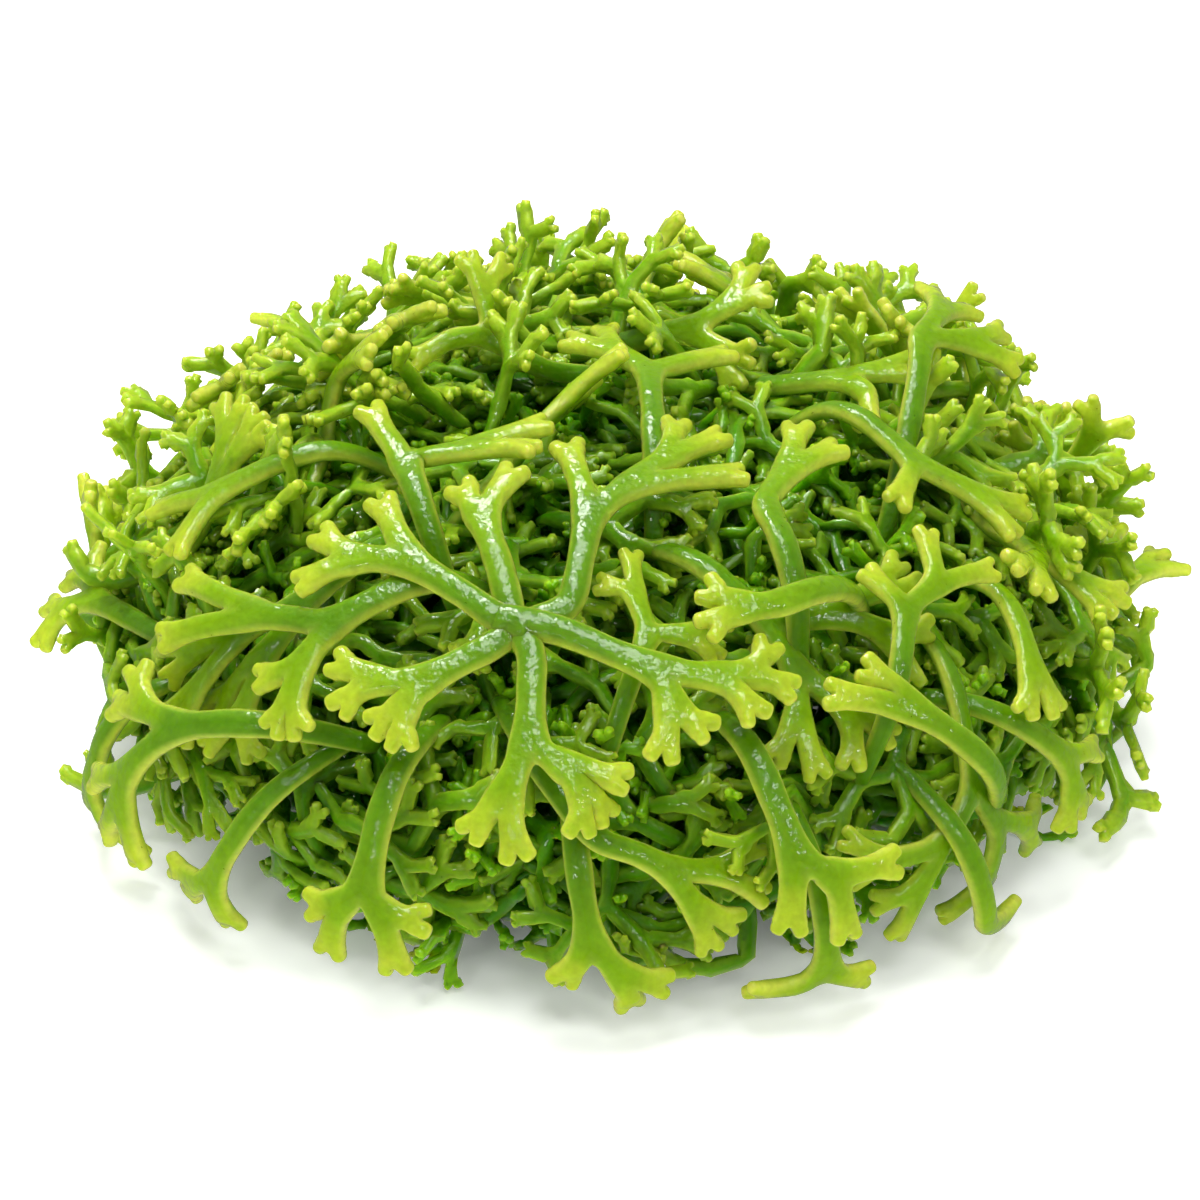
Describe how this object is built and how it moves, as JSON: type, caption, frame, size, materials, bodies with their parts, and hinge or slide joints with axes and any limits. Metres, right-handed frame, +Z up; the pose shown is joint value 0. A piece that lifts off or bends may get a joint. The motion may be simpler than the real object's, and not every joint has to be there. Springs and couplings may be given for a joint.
{
  "type": "clump of branching sea moss",
  "caption": "Low dome of wet green seaweed: strap-shaped fronds that fork in two again and again, heaped over a mat of short tangled sprigs.",
  "frame": {"origin": "middle of the clump's length and depth, at the level of the flat underside that it rests on", "axes": "+Z up, -Y towards the side that shows the star of fronds, +X to the right of that side"},
  "size_m": [0.1502, 0.1488, 0.0646],
  "materials": {
    "frond_skin": "wet, see-through green seaweed skin: yellow-green at the tips, mid green along the limbs, with broad broken wet highlights",
    "shaded_sprigs": "the same wet seaweed, darker green and finely wrinkled, with small sparkling highlights"
  },
  "bodies": {
    "root": {"brim_frond_01": "frond_skin", "brim_frond_02": "frond_skin", "brim_frond_03": "frond_skin", "brim_frond_04": "frond_skin", "brim_frond_05": "frond_skin", "brim_frond_06": "frond_skin", "brim_frond_07": "frond_skin", "brim_frond_08": "frond_skin", "brim_frond_09": "frond_skin", "brim_frond_10": "frond_skin", "brim_frond_11": "frond_skin", "crown_frond_01": "frond_skin", "crown_frond_02": "frond_skin", "crown_frond_04": "frond_skin", "crown_frond_05": "frond_skin", "far_left_foot_frond": "frond_skin", "flank_frond_01": "frond_skin", "flank_frond_02": "frond_skin", "flank_frond_03": "frond_skin", "flank_frond_04": "frond_skin", "flank_frond_05": "frond_skin", "flank_frond_06": "frond_skin", "flank_frond_07": "frond_skin", "forked_twig_frond": "frond_skin", "front_foot_frond": "frond_skin", "front_right_foot_frond": "frond_skin", "left_foot_frond": "frond_skin", "left_frond": "frond_skin", "left_low_frond": "frond_skin", "left_upper_frond": "frond_skin", "low_left_frond": "frond_skin", "low_right_frond": "frond_skin", "pale_blade_frond": "frond_skin", "pillar_frond": "frond_skin", "right_crest_frond": "frond_skin", "right_foot_frond": "frond_skin", "right_forked_frond": "frond_skin", "right_hanging_frond": "frond_skin", "right_reaching_frond": "frond_skin", "right_shoulder_frond": "frond_skin", "slope_frond_01": "frond_skin", "slope_frond_02": "frond_skin", "slope_frond_03": "frond_skin", "slope_frond_04": "frond_skin", "slope_frond_05": "frond_skin", "slope_frond_06": "frond_skin", "star_frond_left": "frond_skin", "star_frond_lower": "frond_skin", "star_frond_right": "frond_skin", "star_frond_upper": "frond_skin", "star_frond_upper_left": "frond_skin", "tall_forked_frond": "frond_skin", "tangled_sprigs": "shaded_sprigs", "under_frond_01": "frond_skin", "under_frond_02": "frond_skin", "under_frond_03": "frond_skin", "under_frond_04": "frond_skin", "upper_centre_frond": "frond_skin", "upper_left_frond": "frond_skin", "upper_right_frond": "frond_skin"}
  },
  "joints": []
}
